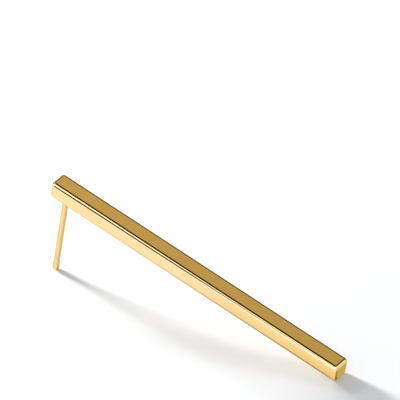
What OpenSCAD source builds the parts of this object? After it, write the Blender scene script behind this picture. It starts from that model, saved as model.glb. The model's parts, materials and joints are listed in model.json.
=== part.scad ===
// A straight bar earring: a polished square bar with an ear post soldered to its back.
// It lies as it does when it is put down unworn, on the tip of its post and on the lower
// back edge of the bar. The frame's origin is on the surface, +X runs from the post's end
// of the bar to the end that rests, and +Z is up.

/* [Bar] */
// Length of the bar
bar_l = 39.6; // [20:0.1:80]
// Width of the bar's face
bar_w = 2.2; // [1.6:0.05:4]
// Thickness of the bar, from its face to its back
bar_t = 2.2; // [1.6:0.05:4]
// Radius that rounds every edge and corner of the bar
edge_r = 0.42; // [0.1:0.02:0.6]

/* [Ear post] */
// Diameter of the post's wire
post_d = 0.66; // [0.6:0.02:0.9]
// Length of the post, from the bar's back to its tip
post_l = 11.1; // [8:0.1:14]
// Distance from the bar's upper end to the post's axis
post_inset = 1.55; // [1.2:0.05:4]
// Radius of the solder's fillet around the post's root
solder_r = 0.3; // [0.1:0.05:0.35]

/* [Friction tip] */
// Length of the swaged tip, its round end included
tip_l = 1.4; // [1:0.1:3]
// How far the tip swells out past the wire's surface
tip_swell = 0.05; // [0.01:0.01:0.1]
// Radius of the round-bottomed notch above the tip
notch_r = 0.4; // [0.2:0.05:1]
// Depth of the notch below the wire's surface
notch_depth = 0.05; // [0.02:0.01:0.08]

/* [Hidden] */
$fn = 64;

post_r = post_d / 2;
tip_r = post_r + tip_swell;

// Where the wire ends and the tip starts, measured from the bar's back
wire_l = post_l - tip_l;

// What touches the surface, as [distance along the bar, depth below its face]: the centre of
// the rounding along the bar's lower back edge, and the centre of the post's round end
edge_centre = [bar_l - edge_r, bar_t - edge_r];
tip_centre = [post_inset, bar_t + post_l - tip_r];

// The bar's slope that brings both of them down on the surface
reach = tip_centre - edge_centre;
slope = atan2(reach.y, -reach.x) + asin((tip_r - edge_r) / norm(reach));

// How high the middle of the face's upper end then lies over the surface
rise = edge_centre.x * sin(slope) + edge_centre.y * cos(slope) + edge_r;

// The lying part's reach along X, measured from the middle of the face's upper end
x_low = tip_centre.x * cos(slope) - tip_centre.y * sin(slope) - tip_r;
x_high = edge_centre.x * cos(slope) - edge_r * sin(slope) + edge_r;

// A box with every edge and corner rounded, from the origin to size
module rounded_box(size, r) {
    far = size - [r, r, r];
    span = far - [r, r, r];
    translate([0, r, r]) cube([size.x, span.y, span.z]);
    translate([r, 0, r]) cube([span.x, size.y, span.z]);
    translate([r, r, 0]) cube([span.x, span.y, size.z]);
    for (y = [r, far.y], z = [r, far.z]) {
        translate([r, y, z]) rotate([0, 90, 0]) cylinder(r = r, h = span.x);
    }
    for (x = [r, far.x], z = [r, far.z]) {
        translate([x, r, z]) rotate([-90, 0, 0]) cylinder(r = r, h = span.y);
    }
    for (x = [r, far.x], y = [r, far.y]) {
        translate([x, y, r]) cylinder(r = r, h = span.z);
    }
    for (x = [r, far.x], y = [r, far.y], z = [r, far.z]) {
        translate([x, y, z]) sphere(r = r);
    }
}

// The bar, with its face up at Z = 0 and the middle of its upper end at the origin
module bar() {
    translate([0, -bar_w / 2, -bar_t]) rounded_box([bar_l, bar_w, bar_t], edge_r);
}

// The solder's fillet, a ring with a hollow round profile on the plane Z = 0
module solder_fillet() {
    rotate_extrude() difference() {
        square([post_r + solder_r, solder_r]);
        translate([post_r + solder_r, solder_r]) circle(r = solder_r);
    }
}

// The round-bottomed groove that an ear nut snaps into, centred on Z = 0
module notch() {
    rotate_extrude() translate([post_r + notch_r - notch_depth, 0]) circle(r = notch_r);
}

// The swaged tip, which swells from the wire's end at Z = 0 to its round end
module swaged_tip() {
    cylinder(r1 = post_r, r2 = tip_r, h = tip_l - tip_r);
    translate([0, 0, tip_l - tip_r]) sphere(r = tip_r);
}

// The post, rising from the bar's back at Z = 0, with its root sunk into the bar
module ear_post() {
    root = bar_t / 2;
    difference() {
        translate([0, 0, -root]) cylinder(r = post_r, h = root + wire_l);
        translate([0, 0, wire_l - notch_r]) notch();
    }
    translate([0, 0, wire_l]) swaged_tip();
    solder_fillet();
}

// One solid, because the post is soldered to the bar's back
module bar_with_post() {
    color("goldenrod")
    translate([-(x_low + x_high) / 2, 0, rise]) rotate([0, slope, 0]) union() {
        bar();
        translate([post_inset, 0, -bar_t]) rotate([180, 0, 0]) ear_post();
    }
}

bar_with_post();
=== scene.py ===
import json
import math

import bmesh
import bpy
from mathutils import Matrix, Vector


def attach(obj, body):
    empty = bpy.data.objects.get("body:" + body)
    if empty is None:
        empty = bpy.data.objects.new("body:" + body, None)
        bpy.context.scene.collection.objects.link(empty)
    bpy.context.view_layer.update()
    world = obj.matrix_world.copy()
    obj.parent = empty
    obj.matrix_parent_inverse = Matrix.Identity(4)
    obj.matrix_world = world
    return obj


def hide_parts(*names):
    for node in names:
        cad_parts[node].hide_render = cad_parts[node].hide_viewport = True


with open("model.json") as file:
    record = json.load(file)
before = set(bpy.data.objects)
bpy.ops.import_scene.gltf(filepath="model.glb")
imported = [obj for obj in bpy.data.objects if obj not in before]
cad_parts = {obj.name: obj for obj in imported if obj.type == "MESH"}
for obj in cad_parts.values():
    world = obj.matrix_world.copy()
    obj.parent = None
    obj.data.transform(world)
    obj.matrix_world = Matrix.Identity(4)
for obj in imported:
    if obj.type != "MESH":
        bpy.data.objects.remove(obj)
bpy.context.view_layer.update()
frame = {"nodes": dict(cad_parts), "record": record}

# Lengths below are in millimetres and angles in degrees, where nothing else is said
MM = 0.001

# Sizes of the earring, as the CAD source has them
EDGE_R = 0.42
SOLDER_R = 0.3
TIP_L = 1.4
TIP_SWELL = 0.05
NOTCH_R = 0.4
NOTCH_DEPTH = 0.05

# How far above and below the notch the wire is straight again
NOTCH_RIMS = (0.04, 0.03)

# How finely the rounded forms are cut
EDGE_STEPS = 12
POST_STEPS = 64
FILLET_STEPS = 8
NOTCH_STEPS = 8
TIP_STEPS = 14

# The camera of the photograph
VIEW_AZIMUTH = 42.49
VIEW_ELEVATION = 35.32
VIEW_ROLL = 7.58
VIEW_DISTANCE = 875.0
VIEW_PIXELS_PER_MM = 8.983
VIEW_AIM = (-13.859, 18.214, 0.0)
PHOTO_PIXELS = 400
SENSOR_MM = 36.0


class Lie:
    """Where the earring lies: its own axes along the bar, across it and out of its face."""

    def __init__(self):
        post = frame["record"]["mounts"][0]
        self.out = -Vector(post["axis"]).normalized()
        self.along = Vector((self.out.z, 0.0, -self.out.x))
        self.across = Vector((0.0, 1.0, 0.0))
        points = [v.co for v in frame["nodes"]["bar_with_post"].data.vertices]
        reach_along = [p.dot(self.along) for p in points]
        reach_out = [p.dot(self.out) for p in points]
        self.origin = self.along * min(reach_along) + self.out * max(reach_out)
        self.bar_l = (max(reach_along) - min(reach_along)) / MM
        # the bar is square
        self.bar_w = (max(p.y for p in points) - min(p.y for p in points)) / MM
        self.bar_t = self.bar_w
        self.post_inset = (Vector(post["pos_m"]) - self.origin).dot(self.along) / MM
        self.post_r = post["dims"]["r_mm"]
        self.post_l = (max(reach_out) - min(reach_out)) / MM - self.bar_t

    def point(self, along, across, out):
        """A place on the earring, as a point of the frame in metres."""
        return self.origin + (self.along * along + self.across * across + self.out * out) * MM

    def direction(self, along, across, out):
        return (self.along * along + self.across * across + self.out * out).normalized()


lie = Lie()


# The earring's mesh
def arc(steps, start, end):
    """Equal steps from start to end, in angle or length, with both ends included."""
    return [start + (end - start) * i / steps for i in range(steps + 1)]


def bar_section(inset, lean):
    """A ring round the bar, as (across, out, normal across, normal out), inset at a rounded end."""
    half_w = lie.bar_w / 2 - EDGE_R
    half_t = lie.bar_t / 2 - EDGE_R
    ring = []
    for quarter, (side, up) in enumerate(((1, 1), (-1, 1), (-1, -1), (1, -1))):
        for a in arc(EDGE_STEPS, quarter * math.pi / 2, (quarter + 1) * math.pi / 2):
            y = side * half_w + (EDGE_R - inset) * math.cos(a)
            z = up * half_t - lie.bar_t / 2 + (EDGE_R - inset) * math.sin(a)
            ring.append((y, z, lean * math.cos(a), lean * math.sin(a)))
    return ring


def post_outline():
    """The post from the bar's back to its tip, as (radius, depth, normal outward, normal down)."""
    r = lie.post_r
    wire_l = lie.post_l - TIP_L
    tip_r = r + TIP_SWELL
    outline = []
    for a in arc(FILLET_STEPS, math.pi / 2, 0.0):
        radius = r + SOLDER_R - SOLDER_R * math.cos(a)
        outline.append((radius, SOLDER_R - SOLDER_R * math.sin(a), math.cos(a), math.sin(a)))
    # the notch is an arc that sinks below the wire's surface and comes back
    middle = wire_l - NOTCH_R
    centre = r + NOTCH_R - NOTCH_DEPTH
    half = math.acos((NOTCH_R - NOTCH_DEPTH) / NOTCH_R)
    above, below = NOTCH_RIMS
    outline.append((r, middle - NOTCH_R * math.sin(half) - above, 1.0, 0.0))
    for a in arc(NOTCH_STEPS, -half, half):
        radius = centre - NOTCH_R * math.cos(a)
        outline.append((radius, middle + NOTCH_R * math.sin(a), math.cos(a), -math.sin(a)))
    outline.append((r, middle + NOTCH_R * math.sin(half) + below, 1.0, 0.0))
    # the swaged tip widens and ends round
    cone_l = TIP_L - tip_r
    lean = math.atan2(TIP_SWELL, cone_l)
    outline.append((r, wire_l, math.cos(lean / 2), -math.sin(lean / 2)))
    outline.append((r + TIP_SWELL / 2, wire_l + cone_l / 2, math.cos(lean), -math.sin(lean)))
    for a in arc(TIP_STEPS, 0.0, math.pi / 2):
        depth = wire_l + cone_l + tip_r * math.sin(a)
        outline.append((tip_r * math.cos(a), depth, math.cos(a), math.sin(a)))
    return outline


def make_object(name, bm):
    """An object of the scene that takes over the mesh being made in bm."""
    mesh = bpy.data.meshes.new(name)
    bm.to_mesh(mesh)
    bm.free()
    made = bpy.data.objects.new(name, mesh)
    bpy.context.scene.collection.objects.link(made)
    return made


def smooth(mesh):
    mesh.polygons.foreach_set("use_smooth", [True] * len(mesh.polygons))


def make_earring():
    """One closed skin of the bar with its post, with the exact normal of every point."""
    bm = bmesh.new()
    normals = []

    def vertex(place, normal):
        normals.append(lie.direction(*normal))
        return bm.verts.new(lie.point(*place))

    def bridge(ring, other, gap=None):
        """Faces from one ring to the next, and what is left open at side gap."""
        count = len(ring)
        hole = None
        for i in range(count):
            j = (i + 1) % count
            corners = list(dict.fromkeys([ring[i], ring[j], other[j], other[i]]))
            if i == gap:
                hole = corners
            elif len(corners) > 2:
                bm.faces.new(corners)
        return hole

    # rings of the bar, as (distance along, inset, lean, tilt), from its upper end to the end that
    # rests; the first and last are the corners of its flat ends, each there once
    stations = []
    for a in arc(EDGE_STEPS, math.pi / 2, 0.0):
        lean, tilt = math.cos(a), -math.sin(a)
        stations.append((EDGE_R * (1 + tilt), EDGE_R * (1 - lean), lean, tilt))
    stations += [(lie.bar_l - s, inset, lean, -tilt) for s, inset, lean, tilt in stations[::-1]]
    corner = EDGE_STEPS + 1
    rings = []
    for s, inset, lean, tilt in stations:
        section = bar_section(inset, lean)
        # at a flat end the points of each corner are one
        if lean < 1e-6:
            points = [vertex((s, y, z), (tilt, ny, nz)) for y, z, ny, nz in section[::corner]]
            rings.append([p for p in points for _ in range(corner)])
        else:
            rings.append([vertex((s, y, z), (tilt, ny, nz)) for y, z, ny, nz in section])
    # the bar's back stays open between its two roundings
    back = None
    for number, (ring, other) in enumerate(zip(rings, rings[1:])):
        gap = 3 * corner - 1 if number == EDGE_STEPS else None
        back = bridge(ring, other, gap) or back
    bm.faces.new(rings[0][::corner])
    bm.faces.new(rings[-1][::corner])

    # the post, turned round its own axis
    turned = []
    for radius, depth, n_out, n_down in post_outline()[:-1]:
        ring = []
        for a in arc(POST_STEPS, 0.0, 2 * math.pi)[:-1]:
            ca, sa = math.cos(a), math.sin(a)
            place = (lie.post_inset + radius * ca, radius * sa, -lie.bar_t - depth)
            ring.append(vertex(place, (n_out * ca, n_out * sa, -n_down)))
        turned.append(ring)
    for ring, other in zip(turned, turned[1:]):
        bridge(ring, other)
    end = vertex((lie.post_inset, 0.0, -lie.bar_t - lie.post_l), (0, 0, -1))
    last = turned[-1]
    for i, v in enumerate(last):
        bm.faces.new([v, last[(i + 1) % POST_STEPS], end])

    # the bar's back, from its edges to the solder round the post
    border = [bm.edges.get((back[i - 1], back[i])) for i in range(4)]
    root = [bm.edges.get((turned[0][i - 1], turned[0][i])) for i in range(POST_STEPS)]
    bmesh.ops.triangle_fill(bm, edges=border + root, use_beauty=True, normal=-lie.out)
    bmesh.ops.recalc_face_normals(bm, faces=bm.faces)

    piece = make_object("bar_earring", bm)
    smooth(piece.data)
    piece.data.normals_split_custom_set_from_vertices(normals)
    piece.data.update()
    return piece


# Shader maths
class Value:
    """A socket that Python's operators can use: each operation adds a Math node."""

    def __init__(self, finish, socket):
        self.finish = finish
        self.socket = socket

    def __add__(self, other):
        return self.finish.math("ADD", self, other)

    def __radd__(self, other):
        return self.finish.math("ADD", other, self)

    def __sub__(self, other):
        return self.finish.math("SUBTRACT", self, other)

    def __rsub__(self, other):
        return self.finish.math("SUBTRACT", other, self)

    def __mul__(self, other):
        return self.finish.math("MULTIPLY", self, other)

    def __rmul__(self, other):
        return self.finish.math("MULTIPLY", other, self)

    def __truediv__(self, other):
        return self.finish.math("DIVIDE", self, other)

    def __rtruediv__(self, other):
        return self.finish.math("DIVIDE", other, self)

    def __abs__(self):
        return self.finish.math("ABSOLUTE", self)


class Finish:
    """A material under construction."""

    def __init__(self, name):
        self.material = bpy.data.materials.new(name)
        self.material.use_nodes = True
        self.tree = self.material.node_tree
        self.tree.nodes.clear()

    def node(self, kind, settings=None, sockets=None, out=0):
        """Adds a node: its settings first, then its sockets' values or links. Gives one output."""
        made = self.tree.nodes.new(kind)
        for key, value in (settings or {}).items():
            setattr(made, key, value)
        for key, value in (sockets or {}).items():
            if isinstance(value, Value):
                self.tree.links.new(value.socket, made.inputs[key])
            else:
                made.inputs[key].default_value = value
        return Value(self, made.outputs[out]) if made.outputs else None

    def math(self, operation, *values):
        return self.node("ShaderNodeMath", {"operation": operation}, dict(enumerate(values)))

    def clamp(self, value):
        """The value, kept between 0 and 1."""
        return self.node("ShaderNodeClamp", None, {"Value": value})

    def larger(self, a, b):
        return self.math("MAXIMUM", a, b)

    def ramp(self, value, low, high):
        """0 at low, 1 at high, and a smooth step between them."""
        return self.node("ShaderNodeMapRange", {"interpolation_type": "SMOOTHSTEP"},
                         {"Value": value, "From Min": low, "From Max": high})

    def object_place(self):
        return self.node("ShaderNodeTexCoord", out="Object")

    def reach(self, place, direction, start):
        """How far place lies beyond start along direction, in millimetres."""
        dot = self.node("ShaderNodeVectorMath", {"operation": "DOT_PRODUCT"},
                        {0: place, 1: tuple(direction / MM)}, out="Value")
        return dot - start.dot(direction) / MM

    def vector(self, x, y, z):
        return self.node("ShaderNodeCombineXYZ", None, {"X": x, "Y": y, "Z": z})

    def noise(self, place, scale, detail, roughness):
        return self.node("ShaderNodeTexNoise", {"noise_dimensions": "3D"},
                         {"Vector": place, "Scale": scale, "Detail": detail, "Roughness": roughness},
                         out="Fac")

    def mix(self, factor, a, b):
        """A colour from a to b, each a red, green and blue or a colour that is already mixed."""
        a, b = (colour if isinstance(colour, Value) else (*colour, 1.0) for colour in (a, b))
        return self.node("ShaderNodeMix", {"data_type": "RGBA"}, {0: factor, 6: a, 7: b}, out=2)

    def glow(self, colour):
        return self.node("ShaderNodeEmission", None, {"Color": colour})

    def partly_clear(self, factor, shader):
        """The shader where factor is 1, and nothing where it is 0."""
        clear = self.node("ShaderNodeBsdfTransparent")
        return self.node("ShaderNodeMixShader", None, {0: factor, 1: clear, 2: shader})

    def surface(self, shader):
        self.node("ShaderNodeOutputMaterial", None, {"Surface": shader})
        return self.material


# The gold: the two tints between which its plating clouds softly, the tints of worn edges, the
# drawn wire and the solder, each with its share of the colour, and that of grazing reflections
PLATING = ((0.94, 0.705, 0.343), (0.99, 0.78, 0.443))
WORN_GOLD = (0.97, 0.79, 0.41)
WORN_SHARE = 0.7
WIRE_GOLD = (0.94, 0.66, 0.275)
WIRE_SHARE = 0.8
SOLDER_GOLD = (0.90, 0.70, 0.40)
SOLDER_SHARE = 0.5
GRAZING_TINT = (0.6, 0.5, 0.3, 1.0)

# The roughness of the polish, and what each of these adds to it at its strongest
POLISH = 0.055
MARKS_ROUGHNESS = 0.03
CLOUD_ROUGHNESS = 0.02
WIRE_ROUGHNESS = 0.04
SOLDER_ROUGHNESS = 0.12
EDGE_ROUGHNESS = -0.01

# Marks to a millimetre, along the piece and across it: the buffing wheel's and the drawing die's
BUFFING = (0.16, 9.0)
DRAWING = (0.5, 7.0)

# Spots to a millimetre: clouds in the tint, wear, and soft dents in the polish
CLOUDS = 0.35
WEAR = 1.7
DENTS = 0.22

# The solder's dull skin, as where it is gone and where it is full: out from the wire's surface, and
# down the wire and up the bar's sides from the bar's back
SKIN_OUT = (0.55, 0.05)
SKIN_DOWN = (0.8, 0.12)
SKIN_UP = (0.3, 0.02)

# The relief of the polish: its height, its strength, and the shares of its height that the marks
# and the solder's skin have beside the dents
RELIEF = 0.01
RELIEF_STRENGTH = 0.35
MARKS_RELIEF = 0.02
SOLDER_RELIEF = 0.6

# The width of the change from the bar's finish to the post's
SEAM = 0.02


def polished_gold():
    """Mirror-polished yellow gold plating, with marks of the buffing wheel along the bar."""
    f = Finish("polished_gold")
    place = f.object_place()
    along = f.reach(place, lie.along, lie.origin)
    across = f.reach(place, lie.across, lie.origin)
    out = f.reach(place, lie.out, lie.origin)
    back = -lie.bar_t

    # 1 in the middle of a rounded edge of the bar, where two of these are 0.7, and 0 on its flats
    # and on the post
    side = f.clamp((abs(across) - (lie.bar_w / 2 - EDGE_R)) / EDGE_R)
    face = f.clamp((abs(out + lie.bar_t / 2) - (lie.bar_t / 2 - EDGE_R)) / EDGE_R)
    end = f.clamp((abs(along - lie.bar_l / 2) - (lie.bar_l / 2 - EDGE_R)) / EDGE_R)
    on_bar = f.ramp(out, back - SEAM, back)
    edge = f.clamp(f.larger(f.larger(side * face, side * end), face * end) * 2.0) * on_bar

    # 1 on the post, and on the solder round its root
    post = 1.0 - on_bar
    beside = along - lie.post_inset
    from_axis = f.math("SQRT", beside * beside + across * across)
    solder = f.ramp(from_axis, *(lie.post_r + r for r in SKIN_OUT))
    solder = solder * f.ramp(out, *(back - down for down in SKIN_DOWN))
    solder = solder * f.ramp(out, *(back + up for up in SKIN_UP))

    millimetres = f.vector(along, across, out)
    lines = f.vector(along * BUFFING[0], across * BUFFING[1], out * BUFFING[1])
    buffed = f.noise(lines, scale=1.0, detail=3.0, roughness=0.6)
    lines = f.vector(along * DRAWING[1], across * DRAWING[1], out * DRAWING[0])
    drawn = f.noise(lines, scale=1.0, detail=3.0, roughness=0.6)
    marks = buffed * on_bar + drawn * post
    cloud = f.noise(millimetres, CLOUDS, detail=3.0, roughness=0.5)
    worn = f.noise(millimetres, WEAR, detail=4.0, roughness=0.6)
    dents = f.noise(millimetres, DENTS, detail=1.0, roughness=0.4)
    dull = solder * worn

    colour = f.mix(cloud, *PLATING)
    colour = f.mix(edge * worn * WORN_SHARE, colour, WORN_GOLD)
    colour = f.mix(post * WIRE_SHARE, colour, WIRE_GOLD)
    colour = f.mix(dull * SOLDER_SHARE, colour, SOLDER_GOLD)
    roughness = POLISH + marks * MARKS_ROUGHNESS + cloud * CLOUD_ROUGHNESS
    roughness = roughness + post * WIRE_ROUGHNESS + dull * SOLDER_ROUGHNESS + edge * EDGE_ROUGHNESS
    height = dents + marks * MARKS_RELIEF + dull * SOLDER_RELIEF
    bump = f.node("ShaderNodeBump", None,
                  {"Strength": RELIEF_STRENGTH, "Distance": RELIEF * MM, "Height": height})
    metal = f.node("ShaderNodeBsdfPrincipled", {"distribution": "MULTI_GGX"},
                   {"Base Color": colour, "Metallic": 1.0, "Specular Tint": GRAZING_TINT,
                    "Roughness": roughness, "Normal": bump})
    return f.surface(metal)


# The share of the light that the paper throws back, how much it varies with the paper's grain, and
# the grains to a metre
PAPER = 0.8
GRAIN = 0.005
GRAINS = 900.0


def white_paper():
    """The table's white sheet."""
    f = Finish("white_paper")
    grain = f.noise(f.object_place(), GRAINS, detail=3.0, roughness=0.5)
    darker, lighter = ((PAPER * (1 + change),) * 3 for change in (-GRAIN, GRAIN))
    paper = f.node("ShaderNodeBsdfPrincipled", None,
                   {"Base Color": f.mix(grain, darker, lighter), "Roughness": 1.0,
                    "Specular IOR Level": 0.0})
    return f.surface(paper)


def lit_card(name, first, last, axis="Z", start=0.0, end=1.0):
    """A card that shines by itself, from first to last between two places on an axis, in metres."""
    f = Finish(name)
    reach = f.node("ShaderNodeSeparateXYZ", None, {"Vector": f.object_place()}, out=axis)
    return f.surface(f.glow(f.mix(f.ramp(reach, start, end), first, last)))


# The studio, with directions as the photograph's camera has them: azimuth 0 is straight away from
# it and 90 is to its right, and elevation 90 is overhead
def studio_direction(azimuth, elevation):
    a = math.radians(VIEW_AZIMUTH - azimuth)
    e = math.radians(elevation)
    return Vector((-math.sin(a) * math.cos(e), math.cos(a) * math.cos(e), math.sin(e)))


def hidden_sheet(name, rows, finish):
    """A sheet through rows of points, in metres, which only the polished metal sees."""
    bm = bmesh.new()
    grid = [[bm.verts.new(p) for p in row] for row in rows]
    for row, other in zip(grid, grid[1:]):
        for a, b, c, d in zip(row, row[1:], other[1:], other):
            bm.faces.new([a, b, c, d])
    sheet = make_object(name, bm)
    smooth(sheet.data)
    sheet.data.materials.append(finish)
    sheet.visible_camera = False
    sheet.visible_diffuse = False
    sheet.visible_transmission = False
    sheet.visible_volume_scatter = False
    sheet.visible_shadow = False


# The curved cards of the tent: azimuths, elevations, colour, its strength at the first corner and
# at the last, and the axis along which it changes where that isn't Z
TENT_R = 400.0
CARD_STEPS = 24
DARK = (1.0, 0.3, 0.03)
CARDS = (
    ("dark_top", (-180.0, 180.0), (70.0, 90.0), DARK, 0.04, 0.04),
    ("softbox", (-200.0, -62.0), (-4.0, 60.5), (0.98, 1.01, 1.12), 1.35, 1.42),
    ("softbox_top", (-200.0, -62.0), (60.5, 70.0), DARK, 0.04, 0.04),
    ("back_wall", (-62.0, 40.0), (46.0, 70.0), (1.0, 0.78, 0.355), 0.81, 0.495, "X"),
    ("low_wall", (12.0, 40.0), (-4.0, 46.0), (1.0, 0.8, 0.35), 0.03, 0.06),
    ("left_low_wall", (-62.0, 12.0), (-4.0, 46.0), (1.0, 0.85, 0.6), 0.16, 0.16),
    ("right_gap", (40.0, 84.0), (-4.0, 70.0), (1.0, 0.8, 0.3), 0.08, 0.08),
    ("right_card", (84.0, 160.0), (20.0, 36.0), (1.0, 1.0, 1.0), 1.2, 1.2),
    ("right_low", (84.0, 160.0), (-4.0, 20.0), (1.0, 0.92, 0.7), 0.75, 0.75),
    ("right_top", (84.0, 102.0), (36.0, 70.0), DARK, 0.04, 0.04),
    ("right_high", (102.0, 160.0), (36.0, 70.0), (1.0, 0.9, 0.7), 0.75, 0.65),
)


def card(name, azimuths, elevations, colour, first, last, axis="Z"):
    rows = [[studio_direction(a, e) * TENT_R * MM for a in arc(CARD_STEPS, *azimuths)]
            for e in arc(CARD_STEPS, *elevations)]
    lights = ([c * strength for c in colour] for strength in (first, last))
    start, end = (corner["XYZ".index(axis)] for corner in (rows[0][0], rows[-1][-1]))
    hidden_sheet(name, rows, lit_card(name, *lights, axis, start, end))


# The dark ribbon beside the bar: the place along the bar that sees it, its direction from there,
# and its width, at a few stations
RIBBON_DISTANCE = 40.0
RIBBON_LIGHT = (0.05, 0.014, 0.001)
RIBBON = (
    (-3.0, -113.0, -7.0, 20.0),
    (8.0, -116.0, 11.0, 25.0),
    (16.0, -118.0, 17.0, 24.0),
    (24.0, -120.0, 30.0, 17.0),
    (32.0, -122.0, 33.0, 10.0),
    (42.0, -122.0, 43.0, 5.0),
)


def dark_ribbon():
    """A dark ribbon beside the bar, whose reflection draws the thin brown line along its near edge."""
    rows = []
    for along, azimuth, elevation, width in RIBBON:
        seen_from = lie.point(along, -lie.bar_w / 2, 0.0)
        middle = seen_from + studio_direction(azimuth, elevation) * RIBBON_DISTANCE * MM
        above = studio_direction(azimuth, elevation + 90.0) * width / 2 * MM
        rows.append((middle - above, middle + above))
    hidden_sheet("dark_ribbon", rows, lit_card("dark_ribbon", RIBBON_LIGHT, RIBBON_LIGHT))


# The flags that shade the right of the post: azimuths and light of each, their distance from the
# post's axis, and how far they reach past the bar's back and the tip
FLAGS = (
    ("post_flag", (104.0, 158.0), (0.70, 0.70, 0.62)),
    ("soft_post_flag", (158.0, 184.0), (0.90, 0.89, 0.80)),
)
FLAG_R = 0.75
FLAG_OVERLAP = (0.5, 1.5)
FLAG_STEPS = 6


def post_flags():
    """Dim curved flags at the post's right, which shade that side of the wire."""
    for name, azimuths, light in FLAGS:
        around = [studio_direction(a, 0.0) * FLAG_R * MM for a in arc(CARD_STEPS, *azimuths)]
        rows = []
        for depth in arc(FLAG_STEPS, -FLAG_OVERLAP[0], lie.post_l + FLAG_OVERLAP[1]):
            centre = lie.point(lie.post_inset, 0.0, -lie.bar_t - depth)
            rows.append([centre + step for step in around])
        hidden_sheet(name, rows, lit_card(name, light, light))


# The sheets on the table: how high they lie, and the lower edge of the end that rests, from which
# their places along X are measured; along Y they are measured from the bar's middle
SHEET_HEIGHT = 0.02
END = Vector((lie.point(lie.bar_l, 0.0, -lie.bar_t).x, 0.0, 0.0))
X = Vector((1.0, 0.0, 0.0))
Y = Vector((0.0, 1.0, 0.0))

# The glowing sheet behind the end that rests, which paints a warm, lighter reflection into the end
# face where the table lies in shade: its reach, where its light changes along Y, and its light
# before and after
REFLECTOR_X = (-0.2, 9.0)
REFLECTOR_Y = (-0.9, 13.0)
REFLECTOR_FADE = (2.5, 6.0)
REFLECTOR_LIGHT = ((0.76, 0.67, 0.41), (1.0, 0.92, 0.7))

# The glowing sheet before the side face, a painted warm reflection of the table that only the metal
# sees: its reach, where it turns from clear to full and where its light changes along X, and where
# it changes from near the bar to far, which lies further out by SHEET_SLANT for every millimetre
# towards the bar's upper end
SHEET_X = (-23.0, 2.5)
SHEET_Y = (-1.15, -8.5)
SHEET_CLEAR = (-23.0, -15.0)
SHEET_FADE = (-18.0, 0.0)
SHEET_SLANT = 0.235
SHEET_ACROSS = (1.0, 3.4)
SHEET_NEAR = ((0.98, 0.89, 0.66), (0.90, 0.76, 0.48))
SHEET_FAR = ((1.07, 1.08, 1.10), (1.04, 1.03, 0.91))


def table_sheet(name, reach_x, reach_y, finish):
    """A sheet flat on the table."""
    rows = [[END + Vector((x, y, SHEET_HEIGHT)) * MM for x in reach_x] for y in reach_y]
    hidden_sheet(name, rows, finish)


def golden_glow():
    """The painted warm reflection's glow: deep gold beside the bar, paler outwards, and clear at its
    far end.
    """
    f = Finish("gold_sheet")
    place = f.object_place()
    x = f.reach(place, X, END)
    y = f.reach(place, Y, END)
    fade = f.ramp(x, *SHEET_FADE)
    across = f.ramp(x * SHEET_SLANT - y, *SHEET_ACROSS)
    colour = f.mix(across, f.mix(fade, *SHEET_NEAR), f.mix(fade, *SHEET_FAR))
    return f.surface(f.partly_clear(f.ramp(x, *SHEET_CLEAR), f.glow(colour)))


def table_sheets():
    """Glowing sheets on the table, which paint warm reflections onto the end that rests and the side
    face next to it.
    """
    fade = [y * MM for y in REFLECTOR_FADE]
    finish = lit_card("end_reflector", *REFLECTOR_LIGHT, "Y", *fade)
    table_sheet("end_reflector", REFLECTOR_X, REFLECTOR_Y, finish)
    table_sheet("gold_sheet", SHEET_X, SHEET_Y, golden_glow())


# The dark strip on the table before the corner that rests, whose reflection paints shade on that
# corner: the azimuth of its middle and its reach from the corner, how far to either side it is dark
# and where it has faded away, the share of its reach at which it starts to fade, and its light close
# by and far off
STRIP_AZIMUTH = 140.0
STRIP_R = (0.02, 2.0)
STRIP_DARK = 14.0
STRIP_CLEAR = 38.0
STRIP_SOLID = 0.6
STRIP_LIGHT = ((0.23, 0.17, 0.04), (0.5, 0.42, 0.2))


def fading_dark(foot):
    """The painted shade strip's glow, which turns clear towards its sides and its far end."""
    f = Finish("dark_strip")
    place = f.object_place()
    far = STRIP_R[1]
    ahead = f.reach(place, studio_direction(STRIP_AZIMUTH, 0.0), foot)
    aside = abs(f.reach(place, studio_direction(STRIP_AZIMUTH + 90.0, 0.0), foot))
    dark, clear = (math.tan(math.radians(a)) for a in (STRIP_DARK, STRIP_CLEAR))
    shade = 1.0 - f.ramp(aside / ahead, dark, clear)
    shade = shade * (1.0 - f.ramp(ahead, STRIP_SOLID * far, far))
    glow = f.glow(f.mix(f.ramp(ahead, 0.0, far), *STRIP_LIGHT))
    return f.surface(f.partly_clear(shade, glow))


def dark_strip():
    """A dark strip on the table before the resting corner, whose reflection paints shade along the
    corner's upright edge.
    """
    corner = lie.point(lie.bar_l - EDGE_R, EDGE_R - lie.bar_w / 2, EDGE_R - lie.bar_t)
    # just above the other sheets
    foot = Vector((corner.x, corner.y, 2 * SHEET_HEIGHT * MM))
    azimuths = arc(CARD_STEPS, STRIP_AZIMUTH - STRIP_CLEAR, STRIP_AZIMUTH + STRIP_CLEAR)
    rows = [[foot + studio_direction(a, 0.0) * r * MM for a in azimuths] for r in STRIP_R]
    hidden_sheet("dark_strip", rows, fading_dark(foot))


# The shade below the bar's lower near edge: how far from it in the direction that the side face
# reflects, how far it reaches below and above that line, its gap to the bar's back, and its light
# at the upper end and at the end that rests
SHADE_DIRECTION = (-94.0, -35.0)
SHADE_DISTANCE = 0.4
SHADE_BELOW = 0.5
SHADE_ABOVE = 0.08
SHADE_GAP = 0.05
SHADE_LIGHT = ((1.07, 1.06, 1.0), (0.45, 0.41, 0.32))


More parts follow.
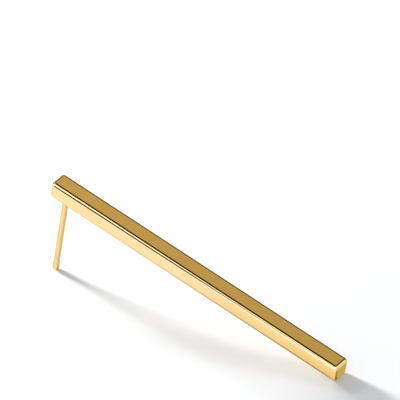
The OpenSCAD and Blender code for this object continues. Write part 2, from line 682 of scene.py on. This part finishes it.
def edge_shade():
    """A trough that dims the bar's lower near edge, more and more towards the end that rests."""
    away = studio_direction(*SHADE_DIRECTION) * SHADE_DISTANCE * MM
    rows = []
    for along in arc(CARD_STEPS, 0.0, lie.bar_l):
        under = lie.point(along, EDGE_R - lie.bar_w / 2, -lie.bar_t - SHADE_GAP)
        line = lie.point(along, -lie.bar_w / 2, EDGE_R - lie.bar_t) + away
        rows.append((under, line - lie.out * SHADE_BELOW * MM, line + lie.out * SHADE_ABOVE * MM))
    finish = lit_card("edge_shade", *SHADE_LIGHT, "X", rows[0][0].x, rows[-1][0].x)
    hidden_sheet("edge_shade", rows, finish)


# The lamps: azimuth, elevation, distance in metres, width and height as seen from the earring, and
# what each adds to the brightness of the paper
LAMPS = (
    ("low_lamp", -40.1, 14.5, 0.8, 10.1, 10.9, 0.44),
    ("high_lamp", -33.5, 35.3, 0.3, 5.0, 12.0, 0.09),
    ("side_lamp", 95.0, 50.0, 0.5, 40.0, 30.0, 0.055),
)

# The room's even light
ROOM_COLOUR = (0.97, 1.0, 1.04, 1.0)
ROOM_LIGHT = 0.57

# The floor: its radius, and how far it lies below the surface that the earring rests on
FLOOR_R = 2000.0
FLOOR_STEPS = 96
FLOOR_DROP = 0.01


def lamp(name, azimuth, elevation, distance, width, height, floor_light):
    data = bpy.data.lights.new(name, "AREA")
    data.shape = "ELLIPSE"
    data.size = 2 * distance * math.tan(math.radians(width / 2))
    data.size_y = 2 * distance * math.tan(math.radians(height / 2))
    falling = floor_light * math.pi / PAPER
    data.energy = falling * math.pi * distance ** 2 / math.sin(math.radians(elevation))
    made = bpy.data.objects.new(name, data)
    towards = studio_direction(azimuth, elevation)
    made.location = towards * distance
    made.rotation_mode = "QUATERNION"
    made.rotation_quaternion = towards.to_track_quat("Z", "Y")
    made.visible_glossy = False
    made.visible_camera = False
    bpy.context.scene.collection.objects.link(made)


def make_floor():
    bm = bmesh.new()
    bmesh.ops.create_circle(bm, cap_ends=True, segments=FLOOR_STEPS, radius=FLOOR_R * MM)
    floor = make_object("paper_floor", bm)
    floor.data.materials.append(white_paper())
    floor.location.z = -FLOOR_DROP * MM


def make_world():
    world = bpy.data.worlds.new("white_room")
    world.use_nodes = True
    background = world.node_tree.nodes["Background"]
    background.inputs["Color"].default_value = ROOM_COLOUR
    background.inputs["Strength"].default_value = ROOM_LIGHT
    bpy.context.scene.world = world


def make_camera():
    """The photograph's camera: far off with a long lens, and rolled a little."""
    away = studio_direction(0.0, -VIEW_ELEVATION)
    level = studio_direction(90.0, 0.0)
    upright = level.cross(away)
    roll = math.radians(VIEW_ROLL)
    right = level * math.cos(roll) - upright * math.sin(roll)
    up = level * math.sin(roll) + upright * math.cos(roll)
    data = bpy.data.cameras.new("camera")
    data.sensor_width = SENSOR_MM
    data.lens = SENSOR_MM * VIEW_DISTANCE * VIEW_PIXELS_PER_MM / PHOTO_PIXELS
    data.clip_start = 0.01
    data.clip_end = 20.0
    camera = bpy.data.objects.new("camera", data)
    turn = Matrix((right, up, -away)).transposed().to_4x4()
    camera.matrix_world = Matrix.Translation((Vector(VIEW_AIM) - away * VIEW_DISTANCE) * MM) @ turn
    bpy.context.scene.collection.objects.link(camera)
    bpy.context.scene.camera = camera


make_camera()

earring = make_earring()
earring.data.materials.append(polished_gold())
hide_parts("bar_with_post")
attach(earring, "root")

make_floor()
make_world()
for row in LAMPS:
    lamp(*row)
for row in CARDS:
    card(*row)
dark_ribbon()
post_flags()
table_sheets()
dark_strip()
edge_shade()

scene = bpy.context.scene
scene.view_settings.view_transform = "Standard"
scene.view_settings.look = "None"
